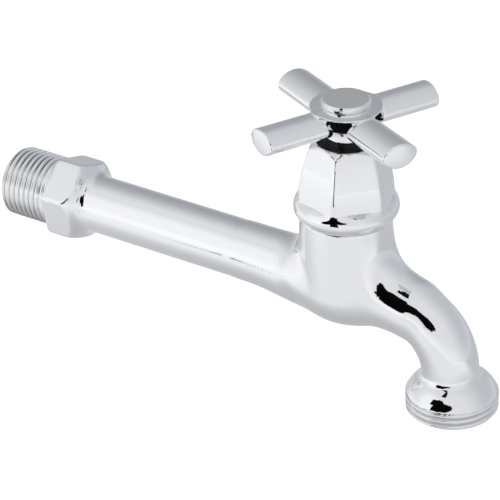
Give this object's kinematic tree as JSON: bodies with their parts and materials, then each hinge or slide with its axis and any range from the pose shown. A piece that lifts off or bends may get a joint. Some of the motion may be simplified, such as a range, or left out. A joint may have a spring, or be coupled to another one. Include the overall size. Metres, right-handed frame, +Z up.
{
  "type": "utility sink faucet",
  "caption": "Chrome long-bodied wall faucet: threaded inlet and wrench boss, screw-down valve under a bell bonnet, cross handle and a down-turned spout with a hose thread.",
  "frame": {"origin": "on the axis of the inlet thread, at the wall side of the wrench boss", "axes": "+X from the wall along the tube towards the spout, +Z up the valve axis, +Y to the left seen from the spout"},
  "size_m": [0.1653, 0.0542, 0.0884],
  "materials": {
    "chrome": "polished chrome plate",
    "satin_cap": "satin plate",
    "brass": "machined brass",
    "black_rubber": "matt rubber",
    "fibre": "pressed fibre",
    "steel": "plated steel"
  },
  "bodies": {
    "tap_body": {"body_casting": "chrome", "valve_seat": "brass", "bonnet_gasket": "fibre", "bonnet": "chrome", "packing_ring": "black_rubber"},
    "jumper_valve": {"jumper": "brass", "seat_washer": "black_rubber", "washer_plate": "brass", "washer_nut": "brass"},
    "handle": {"spindle": "brass", "lower_o_ring": "black_rubber", "upper_o_ring": "black_rubber", "cross_handle": "chrome", "square_bush": "brass", "handle_screw": "steel", "lock_washer": "steel", "index_cap": "satin_cap", "cap_o_ring": "black_rubber"}
  },
  "joints": [
    {"name": "valve_lift", "type": "slide", "parent": "tap_body", "child": "jumper_valve", "axis": [0, 0, 1], "range_m": [0, 0.005]},
    {"name": "handle_turn", "type": "hinge", "parent": "jumper_valve", "child": "handle", "pos_m": [0.0998, 0, 0], "axis": [0, 0, 1], "range_deg": [0, 600]}
  ],
  "couplings": [
    {"joint": "handle_turn", "follows": "valve_lift", "rad_per_m": 2094.4}
  ]
}
